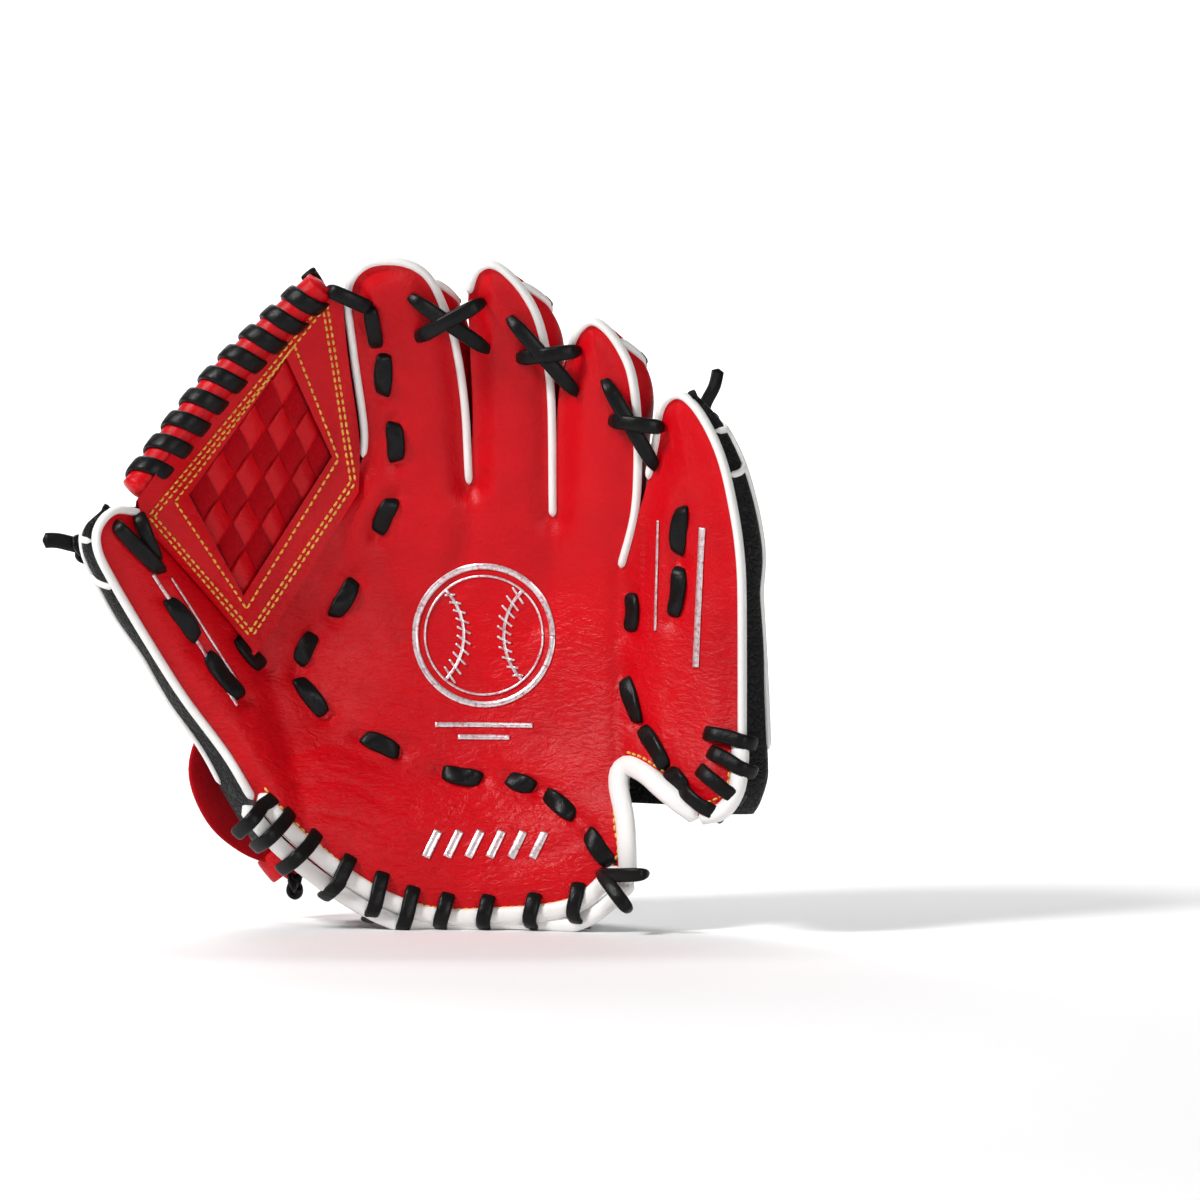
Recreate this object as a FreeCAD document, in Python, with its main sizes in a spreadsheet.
import FreeCAD, Part
import math
import os
from FreeCAD import Placement, Rotation, Vector

# A child's ten inch fielder's glove, worn on the left hand. It stands on its heel and wrist edges:
# +Z runs up the fingers, the pocket opens towards -Y, the thumb is on the -X side. Millimetres.

doc = FreeCAD.newDocument("FieldersGlove")
sheet = doc.addObject("Spreadsheet::Sheet", "Sizes")

SIZES = [
    ("leather", 2.4),
    ("lining", 1.2),
    ("layer_gap", 0.3),
    ("seam_gap", 1.3),
    ("pad_depth", 5.5),
    ("cup_depth", 50.0),
    ("half_span", 112.0),
    ("cup_centre", 5.0),
    ("depth_shift", -6.0),
    ("welt_width", 2.8),
    ("welt_height", 1.3),
    ("lace_width", 6.4),
    ("lace_height", 2.1),
    ("binding_width", 3.4),
    ("roll_radius", 4.6),
    ("wrap_radius", 1.5),
    ("strip_gap", 0.8),
    ("strap_width", 12.0),
    ("strap_thick", 1.8),
    ("stiffener_thick", 1.5),
    ("stiffener_width", 10.0),
    ("thumb_stiffener_length", 62.0),
    ("pinky_stiffener_length", 64.0),
    ("knot_long", 6.5),
    ("knot_short", 4.6),
    ("strap_knot_width", 24.0),
    ("strap_knot_height", 19.0),
    ("strap_knot_thick", 8.0),
]
for row, (alias, value) in enumerate(SIZES, 1):
    sheet.set(f"A{row}", alias)
    sheet.set(f"B{row}", str(value))
    sheet.setAlias(f"B{row}", alias)
doc.recompute()


def size(alias):
    return float(sheet.get(alias))


LEATHER = size("leather")
LINING = size("lining")
GAP = size("layer_gap")
SEAM = LEATHER + size("seam_gap")
LACE_WIDTH = size("lace_width")
LACE_HEIGHT = size("lace_height")
WELT_HEIGHT = size("welt_height")

# Depth of the pocket's centre line over the height, and of the glove's back behind it: (z, mm).
POCKET = [(0, -4), (30, 4), (70, 14), (110, 20), (160, 18), (200, 8), (232, -8)]
HAND_DEPTH = [(0, 38), (30, 36), (70, 31), (118, 27), (150, 25), (180, 23), (205, 18), (222, 12), (232, 7)]

# Seam lines in the front view, as (z, x): the welts of each finger, and the folds of the two sides.
INDEX_LEFT = [(112, -23), (157, -20.5), (172, -20), (201, -24), (221, -25), (229.5, -20)]
INDEX_RIGHT = [(112, 15.4), (153, 15.4), (181, 14), (202, 11), (215, 8), (226, 1), (229.5, -5)]
MIDDLE_LEFT = [(112, 17.4), (181, 17.2), (205, 16.8), (222, 18), (228, 21)]
MIDDLE_RIGHT = [(112, 44.6), (149, 44.4), (181, 44), (204, 41), (216, 37), (224, 31), (228, 27)]
RING_LEFT = [(112, 46.6), (181, 46.8), (200, 50.5), (209, 56)]
RING_RIGHT = [(112, 67.2), (124, 67.6), (143, 72.6), (159, 74), (178, 73), (193, 71), (203, 66.5), (209, 61)]
PINKY_LEFT = [(38, 70), (123, 70), (135, 72), (150, 76), (170, 80), (184, 83)]
PINKY_RIGHT = [(38, 100), (46, 106.5), (57, 110.5), (115, 110), (132, 109), (147, 107), (162, 103),
               (173, 98), (180, 94), (184, 91)]
THUMB_LEFT = [(28, -45), (45, -57.5), (61, -67), (82, -82), (102, -94), (122, -105), (133, -110),
              (141, -110), (146, -105)]
THUMB_RIGHT = [(28, -37.6), (66, -48.6), (104, -60.4), (143, -93), (146, -97)]
THUMB_DEPTH = [(28, 36), (60, 32), (90, 29), (118, 24), (138, 17), (146, 10)]
PINKY_DEPTH = [(38, 35), (70, 31), (118, 27), (150, 22), (175, 16), (185, 9)]


DEEPEST = 30.0
ROUNDNESS = 0.8


def through(points, position):
    """Value at a position of the smooth curve through (position, value) points."""
    position = min(max(position, points[0][0]), points[-1][0])
    index = 0
    while index < len(points) - 2 and position > points[index + 1][0]:
        index += 1

    def slope(at):
        before, after = max(at - 1, 0), min(at + 1, len(points) - 1)
        rise = points[after][1] - points[before][1]
        return rise / (points[after][0] - points[before][0])

    start, low = points[index]
    end, high = points[index + 1]
    span = end - start
    part = (position - start) / span
    return (
        low * (1 + 2 * part) * (1 - part) ** 2
        + high * part**2 * (3 - 2 * part)
        + slope(index) * span * part * (1 - part) ** 2
        + slope(index + 1) * span * part**2 * (part - 1)
    )


def front(x, z):
    """Y of the glove's front surface, a cup that is deepest at the pocket."""
    across = (x - size("cup_centre")) / size("half_span")
    return size("depth_shift") + through(POCKET, z) - size("cup_depth") * across**2


def hand_depth(z):
    return through(HAND_DEPTH, z)


def spline(points):
    curve = Part.BSplineCurve()
    curve.interpolate(points)
    return curve.toShape()


def ring_wire(outer, inner):
    """Closed wire of one section: an outer curve, an inner one, and the two walls between."""
    return Part.Wire([
        spline(outer),
        Part.LineSegment(outer[-1], inner[-1]).toShape(),
        spline(inner[::-1]),
        Part.LineSegment(inner[0], outer[0]).toShape(),
    ])


def steps(low, high, count):
    return [low + (high - low) * index / (count - 1) for index in range(count)]


def slab(x_range, z_range, face_y, back_y):
    """Solid between two surfaces given as functions of x and z."""
    wires = []
    for z in steps(*z_range, max(4, int((z_range[1] - z_range[0]) / 18) + 2)):
        columns = steps(*x_range, max(4, int((x_range[1] - x_range[0]) / 22) + 2))
        outer = [Vector(x, face_y(x, z), z) for x in columns]
        inner = [Vector(x, back_y(x, z), z) for x in columns]
        wires.append(ring_wire(outer, inner))
    return Part.makeLoft(wires, True, False)


def flat(x, z):
    return Vector(x, 0, z)


def outline(*pieces):
    """Face in the XZ plane. Each piece is a list of points; three or more make a smooth curve."""
    edges = []
    for index, piece in enumerate(pieces):
        points = [flat(*point) for point in piece]
        if len(points) > 2:
            edges.append(spline(points))
        elif len(points) == 2:
            edges.append(Part.LineSegment(*points).toShape())
        following = flat(*pieces[(index + 1) % len(pieces)][0])
        if points[-1].distanceToPoint(following) > 0.01:
            edges.append(Part.LineSegment(points[-1], following).toShape())
    return Part.Face(Part.Wire(Part.__sortEdges__(edges)))


def band(points, width):
    """Face of a band of one width along a line of (x, z) points."""
    left, right = [], []
    for index, (x, z) in enumerate(points):
        before, after = points[max(index - 1, 0)], points[min(index + 1, len(points) - 1)]
        along = Vector(after[0] - before[0], after[1] - before[1], 0).normalize()
        left.append((x - along.y * width / 2, z + along.x * width / 2))
        right.append((x + along.y * width / 2, z - along.x * width / 2))
    return outline(left, right[::-1])


def dash(start, end, width=LACE_WIDTH):
    """Face of one visible lace run between two holes, with rounded ends."""
    axis = Vector(end[0] - start[0], 0, end[1] - start[1])
    axis.normalize()
    side = axis.cross(Vector(0, 1, 0)) * (width / 2)
    nose = axis * (width / 2)
    first, last = flat(*start) + nose, flat(*end) - nose
    return Part.Face(Part.Wire([
        Part.Arc(first + side, first - nose, first - side).toShape(),
        Part.LineSegment(first - side, last - side).toShape(),
        Part.Arc(last - side, last + nose, last + side).toShape(),
        Part.LineSegment(last + side, first + side).toShape(),
    ]))


def layer(faces, face_y, back_y):
    """The pieces of a curved slab that stand behind the given faces."""
    faces = faces if isinstance(faces, list) else [faces]
    cuts = []
    for face in faces:
        box = face.BoundBox
        block = slab((box.XMin - 4, box.XMax + 4), (box.ZMin - 4, box.ZMax + 4), face_y, back_y)
        column = face.copy()
        column.translate(Vector(0, -150, 0))
        cuts.extend(block.common(column.extrude(Vector(0, 300, 0))).Solids)
    return cuts[0] if len(cuts) == 1 else Part.makeCompound(cuts)


def behind(offset):
    """Surface at a distance behind the glove's front."""
    return lambda x, z: front(x, z) + offset


def on_back(offset):
    """Surface at a distance behind the back of the hand."""
    return lambda x, z: front(x, z) + hand_depth(z) + offset


def stand_flat(shape):
    """The shape with what reaches below the floor pressed flat."""
    floor = Part.makeBox(400, 400, 40, Vector(-200, -200, -40))
    return shape.cut(floor)


def add(name, shape):
    feature = doc.addObject("Part::Feature", name)
    feature.Shape = shape
    feature.Placement = Placement()
    feature.Label = name
    return feature


def half_turn(z):
    """A finger's back always reaches from seam to seam."""
    return math.pi


def stall_point(sides, depth, turn, z, angle, shrink=0.0, bulge=0.0):
    """Point of a stall's skin at a height and an angle round it from its first seam."""
    start, end = (through(side, z) for side in sides)
    inward = 1 if end > start else -1
    deep, last = through(depth, z), turn(z)
    whole = (1 - math.cos(angle)) / (1 - math.cos(last))
    swell = bulge * deep / DEEPEST * math.sin(2 * angle) if angle < math.pi / 2 else 0.0
    x = start + (end - start) * whole + inward * (shrink * math.cos(angle) - swell)
    rise = (deep - SEAM - shrink) * math.sin(angle) ** ROUNDNESS
    return Vector(x, front(x, z) + SEAM + rise, z)


def stall(sides, depth, turn, z_range, inset=0.0, thick=LEATHER, bulge=0.0):
    """Shell of a finger stall's back, from one seam round the back. turn gives, at each height,
    the angle where it ends: a half turn reaches the other seam, a quarter turn the hand's back."""
    wires = []
    for z in steps(*z_range, max(6, int((z_range[1] - z_range[0]) / 10))):
        rows = [
            [stall_point(sides, depth, turn, z, angle, shrink, bulge) for angle in steps(0.0, turn(z), 9)]
            for shrink in (inset, inset + thick)
        ]
        wires.append(ring_wire(*rows))
    return Part.makeLoft(wires, True, False)


def sock(sides, depth, z_range, inset=2.9):
    """Closed-tip lining of a finger stall: a thin skin around the finger's own space."""
    def blank(extra, low, high):
        wires = []
        for z in steps(low, high, 7):
            lift = Vector(0, GAP + extra, 0)
            points = [
                stall_point(sides, depth, half_turn, z, angle, inset + extra) + lift
                for angle in steps(0.0, math.pi, 9)
            ]
            wires.append(Part.Wire([spline(points), Part.LineSegment(points[-1], points[0]).toShape()]))
        return Part.makeLoft(wires, True, False)

    low, high = z_range
    return blank(0.0, low, high).cut(blank(LINING, low - 3, high - LINING))


def ribbon(points, width, thick):
    """Flat strap along a line of points, its face turned towards +Y."""
    wires = []
    for index, point in enumerate(points):
        before, after = points[max(index - 1, 0)], points[min(index + 1, len(points) - 1)]
        along = (after - before).normalize()
        side = along.cross(Vector(0, 1, 0)).normalize()
        out = side.cross(along).normalize() * (thick / 2)
        side = side * (width / 2)
        corners = [point + side + out, point - side + out, point - side - out, point + side - out]
        wires.append(Part.makePolygon(corners + corners[:1]))
    return Part.makeLoft(wires, True, False)


def tube(start, middle, end, radius):
    """Round bar along one arc."""
    path = Part.Arc(start, middle, end).toShape()
    section = Part.Wire(Part.makeCircle(radius, start, path.tangentAt(path.FirstParameter)))
    return Part.Wire(path).makePipeShell([section], True, True)


# ---------------------------------------------------------------- palm, fingers and their leather
palm_face = outline(
    [(-36, 25), (-47.4, 66), (-59, 104)],
    [(-59, 104), (-25, 154.5)],
    [(-25, 154.5), (-20.8, 163), (-20.8, 174), (-24, 201), (-25, 221), (-19, 230), (-7, 231), (2, 226),
     (8, 214), (11.2, 202), (14.1, 181), (15.6, 153)],
    [(16.4, 153), (17, 181), (16.4, 205), (17.8, 222), (23, 229), (31, 223.5), (37, 215.5),
     (41, 204), (44.1, 181), (44.8, 142)],
    [(45.6, 142), (46.6, 181), (50, 200), (58.5, 210.5), (67, 202), (71, 193), (73, 178), (74, 160),
     (73, 143), (67.6, 124)],
    [(67.6, 124), (67.6, 57)],
    [(67.6, 57), (69, 40), (69.6, 24)],
    [(69.6, 24), (51, 7.6), (22, 4.2), (3, 4.4), (-13, 9.6), (-26, 16.6), (-36, 25)],
)
add("palm_leather", layer(palm_face, behind(0), behind(LEATHER)))

lining_face = outline(
    [(-34, 62), (-44, 84), (-50, 100)],
    [(-50, 100), (-40, 116)],
    [(-40, 116), (62, 116)],
    [(62, 116), (62, 62)],
    [(62, 62), (-34, 62)],
)
LINING_FRONT = LEATHER + GAP
add("palm_lining", layer(lining_face, behind(LINING_FRONT), behind(LINING_FRONT + LINING)))

heel_pad_face = outline(
    [(-34, 60), (-31, 27)],
    [(-31, 27), (-12, 13), (20, 8.5), (48, 11), (62, 26)],
    [(62, 26), (62, 60)],
    [(62, 60), (-34, 60)],
)
add("heel_pad", layer(heel_pad_face, behind(LINING_FRONT), behind(LINING_FRONT + size("pad_depth"))))

FINGERS = {
    "index": (INDEX_LEFT, INDEX_RIGHT, 229.5),
    "middle": (MIDDLE_LEFT, MIDDLE_RIGHT, 228),
    "ring": (RING_LEFT, RING_RIGHT, 209),
}
KNUCKLE_Z = 119
FINGER_BEYOND = 20
for finger, (left, right, top) in FINGERS.items():
    drop = HAND_DEPTH[-1][0] - top
    depth = [(z - drop, deep) for z, deep in HAND_DEPTH]
    shell = stall((left, right), depth, half_turn, (KNUCKLE_Z, top))
    add(f"{finger}_back", shell)
    add(f"{finger}_lining", sock((left, right), depth, (KNUCKLE_Z + 2, top - FINGER_BEYOND)))

# ---------------------------------------------------------------- the back of the hand and the wrist
back_face = outline(
    [(-34.6, 28.6), (-46, 66), (-57.6, 104)],
    [(-57.6, 104), (-26, 117.5)],
    [(-26, 117.5), (67.4, 117.5)],
    [(67.4, 117.5), (67.4, 40)],
    [(67.4, 40), (54.4, 17), (30, 8.2), (5, 7.2), (-17, 14.6), (-34.6, 28.6)],
)
add("hand_back", layer(back_face, on_back(-LEATHER), on_back(0)))

back_lining_face = outline(
    [(-31, 30), (-52, 102)],
    [(-52, 102), (-24, 113)],
    [(-24, 113), (63, 113)],
    [(63, 113), (63, 38)],
    [(63, 38), (51, 17), (28, 9), (5, 8), (-13, 15), (-31, 30)],
)
BACK_SEAT = -LEATHER - GAP
add("hand_back_lining", layer(back_lining_face, on_back(BACK_SEAT - 2 * LINING), on_back(BACK_SEAT)))

# ---------------------------------------------------------------- thumb and little finger sides
TURN_START, TURN_END = 0.5 * math.pi, math.pi


def opening_turn(low, high):
    """Quarter turn below a height, half turn above another, smooth between."""
    def turn(z):
        part = min(max((z - low) / (high - low), 0.0), 1.0)
        return TURN_START + (TURN_END - TURN_START) * part * part * (3 - 2 * part)
    return turn


thumb_face = outline(
    [(-38, 26), (-49, 66), (-60.6, 104.6)],
    [(-60.6, 104.6), (-94, 144)],
    [(-94, 144), (-104, 146.6), (-109.6, 141), (-109.6, 133), (-105, 122), (-94, 102), (-82, 82),
     (-67, 61), (-57.5, 47), (-47, 35), (-38, 26)],
)
add("thumb_leather", layer(thumb_face, behind(0), behind(LEATHER)))
thumb_turn = opening_turn(92, 122)
THUMB = ((THUMB_LEFT, THUMB_RIGHT), THUMB_DEPTH, thumb_turn)
THUMB_BULGE = 8
add("thumb_back", stall(*THUMB, (30, 145.6), bulge=THUMB_BULGE))
SPACER = LEATHER + size("stiffener_thick") + 4.0
add("thumb_lining", stall(*THUMB, (40, 134), inset=SPACER, thick=LINING, bulge=THUMB_BULGE))
SIDE_PAD = 2.8
thumb_pad_face = outline([(-57, 66), (-66, 78), (-78, 97), (-73, 102), (-62, 91), (-55.4, 75), (-57, 66)])
add("thumb_pad", layer(thumb_pad_face, behind(LINING_FRONT), behind(LINING_FRONT + SIDE_PAD)))

pinky_face = outline(
    [(69.6, 124), (74.6, 143), (77, 154), (82, 172), (86, 184)],
    [(86, 184), (91.6, 181), (97.6, 173), (102.6, 162), (106.6, 147), (108.6, 132), (109.6, 115),
     (109.6, 73), (109.6, 57), (105, 47.5), (95, 42.5)],
    [(95, 42.5), (82, 51), (69.6, 60)],
    [(69.6, 60), (69.6, 124)],
)
add("pinky_leather", layer(pinky_face, behind(0), behind(LEATHER)))
pinky_turn = opening_turn(116, 142)
PINKY = ((PINKY_RIGHT, PINKY_LEFT), PINKY_DEPTH, pinky_turn)
PINKY_BULGE = 9
add("pinky_back", stall(*PINKY, (42, 184), bulge=PINKY_BULGE))
add("pinky_lining", stall(*PINKY, (50, 156), inset=SPACER, thick=LINING, bulge=PINKY_BULGE))
pinky_pad_face = outline([(78, 62), (78.6, 98)], [(78.6, 98), (83, 110), (91, 112), (97, 98)], [(97, 98), (97, 62)])
add("pinky_pad", layer(pinky_pad_face, behind(LINING_FRONT), behind(LINING_FRONT + SIDE_PAD)))

# ---------------------------------------------------------------- white welts and bindings
WELTS = {
    "index_welt": [[(-20, 157), (-20, 172), (-24, 201), (-25, 222), (-19, 229.4), (-7, 230.4), (1, 226),
                    (8, 214), (11, 202), (14, 181), (15.6, 154)]],
    "middle_welt": [[(23, 228.4), (31, 223), (37, 215), (41, 204), (44, 181), (44.6, 149), (45, 140)]],
    "ring_welt": [[(60, 209.6), (66.6, 201), (69.6, 192), (70.6, 178), (70.8, 159), (69.6, 143), (65.6, 129)]],
    "pinky_welt": [[(86, 184), (91.4, 180.4), (97.4, 172.6), (102.4, 161.6), (106.4, 146.6), (108.4, 132),
                    (109.4, 115), (109.4, 73), (109, 58)]],
    "thumb_welt": [[(-96, 145), (-104, 145.6), (-109, 140.6), (-109, 133), (-104.4, 122), (-93.4, 102),
                    (-81.4, 82), (-66.4, 61), (-58, 48.5)]],
}
for name, lines in WELTS.items():
    faces = [band(line, size("welt_width")) for line in lines]
    add(name, layer(faces, behind(-WELT_HEIGHT - GAP), behind(-GAP)))

BIND = size("binding_width")
heel_line = [(69, 19.5), (51.5, 5), (22, 1.0), (3, 1.2), (-13.8, 7), (-27, 14.4), (-37, 22.6)]
BINDING_DEPTH = LINING_FRONT + 3
HEEL_BAND = band(heel_line, BIND)
add("heel_binding", stand_flat(layer(HEEL_BAND, behind(-1.4), behind(BINDING_DEPTH))))
thumb_heel_line = [(-40.4, 25.4), (-49, 32.6), (-59, 44)]
add("thumb_heel_binding", layer(band(thumb_heel_line, BIND), behind(-1.4), behind(LEATHER)))
pinky_heel_line = [(110.6, 52), (105.6, 44.4), (95, 39), (81.6, 47.4), (70, 56)]
add("pinky_heel_binding", layer(band(pinky_heel_line, BIND), behind(-1.4), behind(LEATHER)))
wrist_line = [(67.4, 32), (56.4, 9), (30, 1.2), (5, 1.0), (-18.6, 7.4), (-34.6, 21)]
wrist_binding = layer(band(wrist_line, BIND), on_back(-LEATHER - 1.2), on_back(1.2))
add("wrist_binding", stand_flat(wrist_binding))

# ---------------------------------------------------------------- the woven web between thumb and index
web_face = outline(
    [(-26.4, 156), (-22.4, 164), (-22.4, 174), (-26, 201), (-27, 219)],
    [(-27, 219), (-31.6, 217)],
    [(-31.6, 217), (-64.6, 184), (-92.4, 151)],
    [(-92.4, 151), (-92.6, 149.6)],
    [(-92.6, 149.6), (-59.8, 109)],
    [(-59.8, 109), (-26.4, 156)],
)
WINDOW = [(-45, 201), (-30, 162), (-61, 114), (-84, 148)]
window_face = outline(*[[WINDOW[k], WINDOW[(k + 1) % 4]] for k in range(4)])
frame_face = web_face.cut(window_face).Faces[0]
WEB_FACE, WEB_STRIP, WEB_SPACE = 1.8, 1.2, 0.2
web_levels = [0.0]
for thick in (WEB_FACE, WEB_STRIP, WEB_STRIP, WEB_FACE):
    web_levels.append(web_levels[-1] + thick + WEB_SPACE)
add("web_front_frame", layer(frame_face, behind(web_levels[0]), behind(web_levels[0] + WEB_FACE)))
add("web_back_frame", layer(frame_face, behind(web_levels[3]), behind(web_levels[3] + WEB_FACE)))


def in_window(across, along):
    """Point of the web's window from its two shares, 0 to 1 inside the stitched diamond."""
    top, right, bottom, left = WINDOW
    upper = [top[k] + (left[k] - top[k]) * along for k in range(2)]
    lower = [right[k] + (bottom[k] - right[k]) * along for k in range(2)]
    return tuple(upper[k] + (lower[k] - upper[k]) * across for k in range(2))


def strips(count, lengthwise):
    """Faces of the parallel straps that pass through the window one way."""
    under = 0.08
    inset = size("strip_gap") / 90
    faces = []
    for index in range(count):
        low, high = index / count + inset, (index + 1) / count - inset
        corners = [(low, -under), (high, -under), (high, 1 + under), (low, 1 + under)]
        if not lengthwise:
            corners = [(along, across) for across, along in corners]
        points = [in_window(*corner) for corner in corners]
        faces.append(outline(*[[points[k], points[(k + 1) % 4]] for k in range(4)]))
    return faces


add("web_long_strips", layer(strips(4, True), behind(web_levels[1]), behind(web_levels[1] + WEB_STRIP)))
add("web_cross_strips", layer(strips(6, False), behind(web_levels[2]), behind(web_levels[2] + WEB_STRIP)))

ROLL = size("roll_radius")
ROLL_ENDS = ((-97.6, 152.6), (-68.6, 190.4), (-33.6, 224))
ROLL_SEAT = 3.6
roll_points = [Vector(x, front(x, z) + ROLL_SEAT, z) for x, z in ROLL_ENDS]
add("web_roll", tube(*roll_points, ROLL))

# Rawhide coils spaced along the roll, each a ring around it.
WRAP_COUNT = 10
roll_path = Part.Arc(*roll_points).toShape()
rings = []
for index in range(WRAP_COUNT):
    at = roll_path.FirstParameter + (index + 0.5) / WRAP_COUNT * (
        roll_path.LastParameter - roll_path.FirstParameter)
    wrap = size("wrap_radius")
    rings.append(Part.makeTorus(ROLL + wrap + 0.1, wrap, roll_path.valueAt(at), roll_path.tangentAt(at)))
add("web_roll_lace", Part.makeCompound(rings))

# ---------------------------------------------------------------- laces on the front
PALM_DASHES = [
    ((-13, 200), (-13.6, 184)), ((-10.6, 176), (-9.6, 161)), ((-10, 149), (-16, 136)),
    ((-24, 120), (-32, 107)), ((-38, 101), (-43, 91)), ((-44, 85), (-36, 75)), ((-22, 65), (-9, 60)),
    ((6, 54), (20, 52)), ((29, 52), (38, 49)), ((44, 46), (53, 39)), ((59, 33), (65, 24)),
]
SURFACE_LACE = (behind(-LACE_HEIGHT - GAP), behind(-GAP))
add("palm_lace", layer([dash(*ends) for ends in PALM_DASHES], *SURFACE_LACE))
THUMB_DASHES = [((-88, 115), (-78, 101)), ((-74, 97), (-62, 83)), ((-64, 100), (-57.6, 92))]
add("thumb_lace", layer([dash(*ends) for ends in THUMB_DASHES], *SURFACE_LACE))
PINKY_DASHES = [
    ((90.4, 148), (88.4, 130)), ((88.4, 127), (87, 110)), ((74, 117), (74, 101)),
    ((74, 88), (79, 70)), ((80, 68), (87, 57)),
]
add("pinky_lace", layer([dash(*ends) for ends in PINKY_DASHES], *SURFACE_LACE))
HEEL_WRAPS = [
    ((-31, 24), (-28, 13.6)), ((-17.6, 17), (-14.6, 6.8)), ((-2, 13), (-6, 3.2)), ((8, 11.6), (5, 1.2)),
    ((23, 11), (21, 0.8)), ((39, 12.6), (37, 2.6)), ((54, 16), (53, 6)),
]
WRAP_LEVEL = (behind(-1.4 - LACE_HEIGHT - GAP), behind(-1.4 - GAP))
add("heel_lace", layer([dash(*ends, width=5.6) for ends in HEEL_WRAPS], *WRAP_LEVEL))
THUMB_WRAPS = [((-51, 42), (-57, 33)), ((-44, 36), (-48, 27))]
add("thumb_heel_lace", layer([dash(*ends, width=5.0) for ends in THUMB_WRAPS], *WRAP_LEVEL))
PINKY_WRAPS = [((98, 68), (112, 66)), ((96, 62), (111, 56)), ((92, 55), (106, 45)), ((84, 50), (96, 40))]
add("pinky_heel_lace", layer([dash(*ends, width=5.6) for ends in PINKY_WRAPS], *WRAP_LEVEL))

# Crossed laces that hold each finger to its neighbour, one thickness over the other.
LOWER_CROSS = [((-4, 219), (23, 201)), ((30, 211), (54, 185))]
UPPER_CROSS = [((-2, 205), (21, 217)), ((32, 197), (54, 200))]
CROSS_WIDTH = 4.2
OVER_WELT = WELT_HEIGHT + 2 * GAP
lower = (behind(-OVER_WELT - LACE_HEIGHT), behind(-OVER_WELT))
upper = (behind(-OVER_WELT - 2 * LACE_HEIGHT - GAP), behind(-OVER_WELT - LACE_HEIGHT - GAP))
crossing = layer([dash(*ends, width=CROSS_WIDTH) for ends in LOWER_CROSS], *lower).Solids
crossing += layer([dash(*ends, width=CROSS_WIDTH) for ends in UPPER_CROSS], *upper).Solids
add("finger_laces", Part.makeCompound(crossing))
side_cross = layer([dash((63, 191), (81, 160), width=CROSS_WIDTH)], *lower).Solids
side_cross += layer([dash((64, 177), (83, 173), width=CROSS_WIDTH)], *upper).Solids
add("pinky_tie_lace", Part.makeCompound(side_cross))

# Laces that tie the web to the index finger, to the thumb's tip and across the heel notch.
WEB_TIES = [((-32, 221), (-18, 215)), ((-17, 213), (-16, 202))]
add("web_index_lace", layer([dash(*ends, width=5.0) for ends in WEB_TIES], *lower))
add("web_thumb_lace", layer([dash((-112, 147), (-90, 129), width=5.0)], *lower))
NOTCH_TIES = [((61, 19), (76, 24)), ((62, 11), (78, 17))]
add("notch_lace", layer([dash(*ends, width=4.6) for ends in NOTCH_TIES], *WRAP_LEVEL))

# ---------------------------------------------------------------- pieces built from primitives
def knot(name, position, tilt):
    """A tied lace knot: a flattened ball whose half axes come from the sheet."""
    ball = doc.addObject("Part::Ellipsoid", name)
    ball.setExpression("Radius1", "Sizes.knot_short")
    ball.setExpression("Radius2", "Sizes.knot_long")
    flattened = Rotation(Vector(0, 0, 1), tilt).multiply(Rotation(Vector(1, 0, 0), 90))
    ball.Placement = Placement(position, flattened)
    ball.Label = name


def back_point(x, z, out):
    return Vector(x, on_back(out)(x, z), z)


KNOT_SEAT = size("knot_short") + 3.6
knot("thumb_tip_knot", stall_point(*THUMB, 126, 1.5, -KNOT_SEAT, THUMB_BULGE), -30)
knot("pinky_tip_knot", stall_point(*PINKY, 166, 1.4, -KNOT_SEAT, PINKY_BULGE), 25)
knot("back_lace_knot", back_point(-40, 88, KNOT_SEAT), -12)


def plate(name, length, low, high):
    """A round-ended stiffening plate, a sketch padded to its thickness, laid from low to high."""
    body = doc.addObject("PartDesign::Body", name)
    sketch = body.newObject("Sketcher::SketchObject", f"{name}_outline")
    plane = [item for item in body.Origin.OriginFeatures if item.Role == "XZ_Plane"][0]
    sketch.AttachmentSupport = (plane, [""])
    sketch.MapMode = "FlatFace"
    half = size("stiffener_width") / 2
    run = size(length) / 2 - half
    sketch.addGeometry([
        Part.LineSegment(Vector(-half, -run, 0), Vector(-half, run, 0)),
        Part.ArcOfCircle(Part.Circle(Vector(0, run, 0), Vector(0, 0, 1), half), 0, math.pi),
        Part.LineSegment(Vector(half, run, 0), Vector(half, -run, 0)),
        Part.ArcOfCircle(Part.Circle(Vector(0, -run, 0), Vector(0, 0, 1), half), math.pi, 2 * math.pi),
    ], False)
    doc.recompute()
    pad = body.newObject("PartDesign::Pad", f"{name}_thickness")
    pad.Profile = sketch
    pad.setExpression("Length", "Sizes.stiffener_thick")
    pad.Midplane = True
    along = (high - low).normalize()
    wide = Vector(0, 1, 0)
    facing = along.cross(wide)
    body.Placement = Placement((low + high) * 0.5, Rotation(wide, facing, along, "ZXY"))
    body.Label = name


PLATE_DEPTH = LEATHER + 3.2
plate("thumb_stiffener", "thumb_stiffener_length",
      stall_point(*THUMB, 66, 0.45, PLATE_DEPTH, THUMB_BULGE),
      stall_point(*THUMB, 116, 0.45, PLATE_DEPTH, THUMB_BULGE))
plate("pinky_stiffener", "pinky_stiffener_length",
      stall_point(*PINKY, 64, 0.4, PLATE_DEPTH, PINKY_BULGE),
      stall_point(*PINKY, 124, 0.4, PLATE_DEPTH, PINKY_BULGE))

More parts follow.
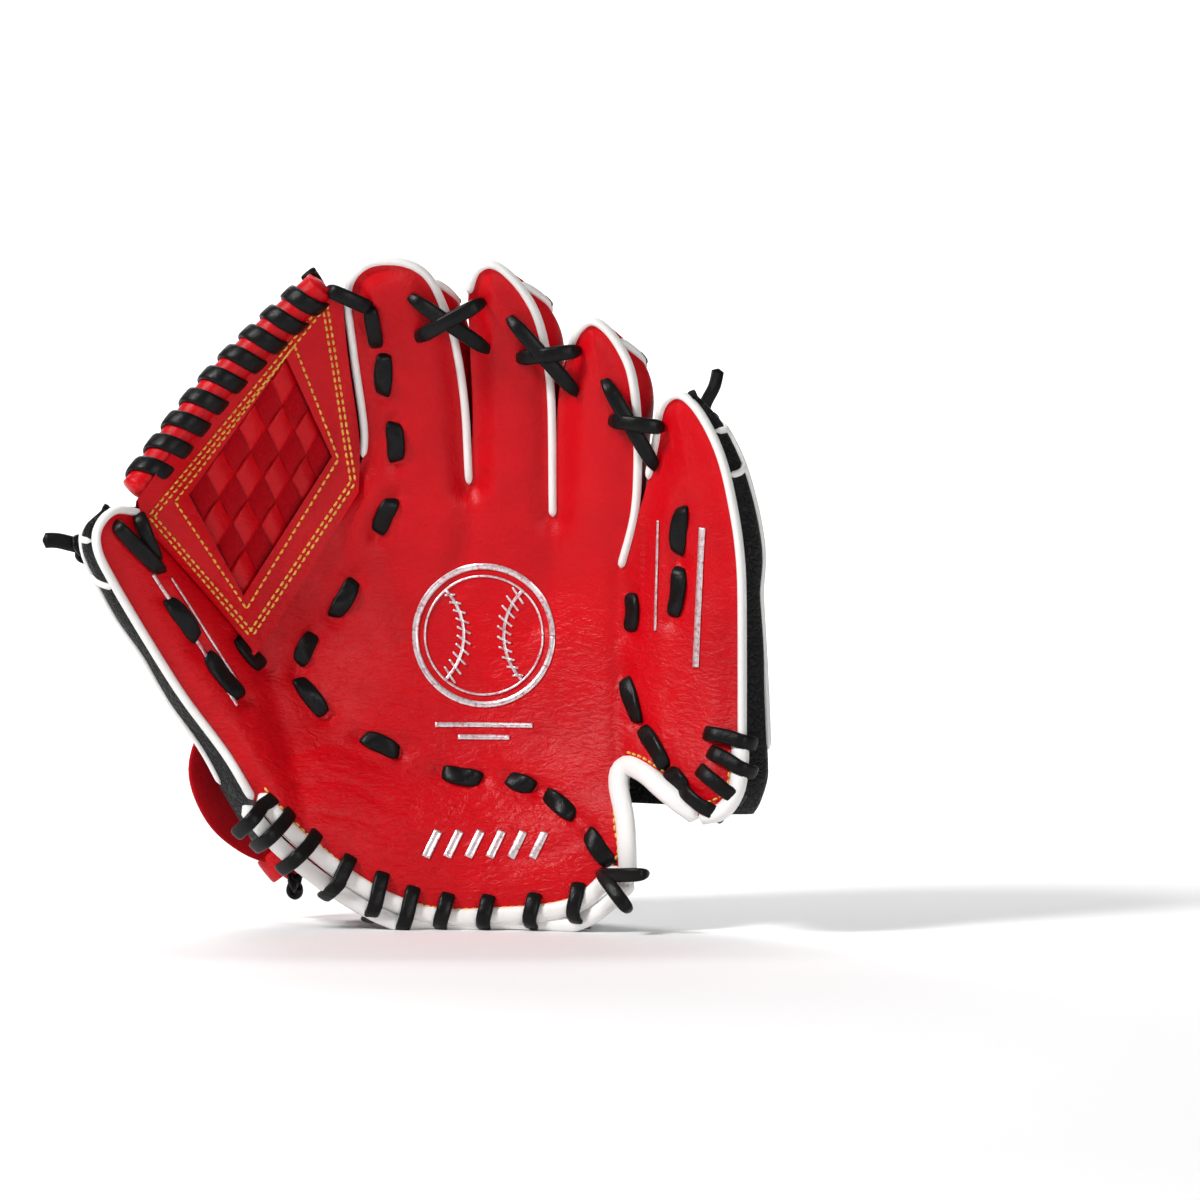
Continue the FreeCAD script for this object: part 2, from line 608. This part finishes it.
# ---------------------------------------------------------------- red strap with its folded knot
STRAP_OUT = 2.4
strap_points = [back_point(x, z, STRAP_OUT + extra)
                for x, z, extra in ((-70, 66, 1), (-65.6, 56, 1.8), (-60, 45, 2), (-54, 34, 2.4))]
add("strap", ribbon(strap_points, size("strap_width"), size("strap_thick")))
KNOT_AT = (-47.6, 23.4)
fold = doc.addObject("Part::Box", "strap_knot_block")
fold.setExpression("Length", "Sizes.strap_knot_width")
fold.setExpression("Width", "Sizes.strap_knot_thick")
fold.setExpression("Height", "Sizes.strap_knot_height")
doc.recompute()
strap_knot = doc.addObject("Part::Fillet", "strap_knot")
strap_knot.Base = fold
strap_knot.Edges = [(edge + 1, 2.5, 2.5) for edge in range(12)]
turned = Rotation(Vector(0, 1, 0), 28)
corner = turned.multVec(Vector(-size("strap_knot_width") / 2, 0, -size("strap_knot_height") / 2))
strap_knot.Placement = Placement(back_point(*KNOT_AT, 4.4) + corner, turned)
strap_knot.Label = "strap_knot"
tail_points = [back_point(x, z, STRAP_OUT + extra)
               for x, z, extra in ((-37.6, 19, 2.6), (-31, 14.6, 2), (-24, 10, 1.6), (-17, 6.2, 1.4))]
add("strap_tail", ribbon(tail_points, size("strap_width") - 3, size("strap_thick")))

# ---------------------------------------------------------------- check and write
doc.recompute()
HELPERS = {"strap_knot_block"}
made = [
    item for item in doc.Objects
    if item.isDerivedFrom("Part::Feature") and item.Name not in HELPERS
    and not item.isDerivedFrom("PartDesign::Feature") and not item.isDerivedFrom("Sketcher::SketchObject")
    and not item.isDerivedFrom("App::OriginFeature")
]
for item in doc.Objects:
    if {"Invalid", "Error"} & set(item.State):
        raise RuntimeError(f"{item.Name} failed: {item.State}")
os.makedirs("parts", exist_ok=True)
total = Part.makeCompound([item.Shape for item in made])
print("parts", len(made), "bounds", total.BoundBox)
for item in made:
    shape = item.Shape
    if shape.isNull() or not shape.isValid() or shape.Volume <= 0:
        raise RuntimeError(f"{item.Label} has no valid solid")
    shape.exportStep(f"parts/{item.Label}.step")
